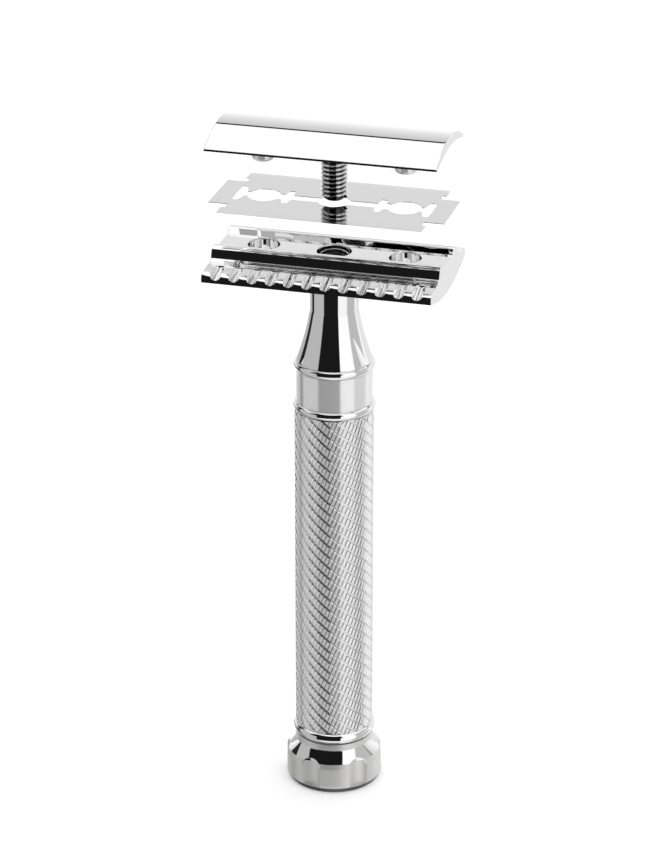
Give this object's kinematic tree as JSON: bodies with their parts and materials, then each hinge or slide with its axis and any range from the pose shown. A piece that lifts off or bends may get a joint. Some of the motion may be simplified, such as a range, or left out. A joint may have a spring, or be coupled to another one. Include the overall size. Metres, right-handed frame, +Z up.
{
  "type": "safety razor",
  "caption": "Double edge safety razor with a scalloped closed guard, knurled handle and a twist knob that draws the cap down; cap and blade lifted off.",
  "frame": {"origin": "centre of the foot's flat underside, on the handle's axis", "axes": "+Z up the handle towards the head, +X along the blade's cutting edges, -Y is the front"},
  "size_m": [0.043, 0.0256, 0.1294],
  "materials": {
    "polished_chrome": "mirror-polished chrome plate",
    "satin_chrome": "fine satin chrome plate",
    "knurled_chrome": "satin-bright chrome over a fine knurl",
    "blade_steel": "bright rolled steel, ground edges",
    "stainless": "turned stainless steel",
    "brass": "turned brass",
    "acetal": "self-lubricating moulded plastic",
    "rubber": "matt black rubber"
  },
  "bodies": {
    "handle": {"guard_plate": "polished_chrome", "neck": "polished_chrome", "upper_bead": "polished_chrome", "collar_band": "satin_chrome", "lower_bead": "polished_chrome", "grip_sleeve": "knurled_chrome", "core_tube": "brass", "end_bead": "polished_chrome", "upper_bush": "acetal", "lower_bush": "acetal", "spring_washer": "stainless", "thrust_washer": "stainless"},
    "knob": {"knob": "satin_chrome", "knob_screw": "stainless", "foot_disc": "satin_chrome", "draw_rod": "stainless", "draw_nut": "brass", "nut_pin": "stainless", "retaining_clip": "stainless", "rubber_ring": "rubber"},
    "blade": {"blade": "blade_steel"},
    "cap": {"cap": "polished_chrome", "cap_stud": "polished_chrome", "locating_posts": "polished_chrome"}
  },
  "joints": [
    {"name": "knob_turn", "type": "hinge", "parent": "handle", "child": "knob", "pos_m": [0, 0, 0], "axis": [0, 0, 1], "range_deg": [0, 3667.4]},
    {"name": "blade_draw", "type": "slide", "parent": "handle", "child": "blade", "axis": [0, 0, -1], "range_m": [0, 0.00815]},
    {"name": "cap_drop", "type": "slide", "parent": "blade", "child": "cap", "axis": [0, 0, -1], "range_m": [0, 0.0105]}
  ],
  "couplings": [
    {"joint": "blade_draw", "follows": "knob_turn", "m_per_rad": 0.00012732}
  ]
}
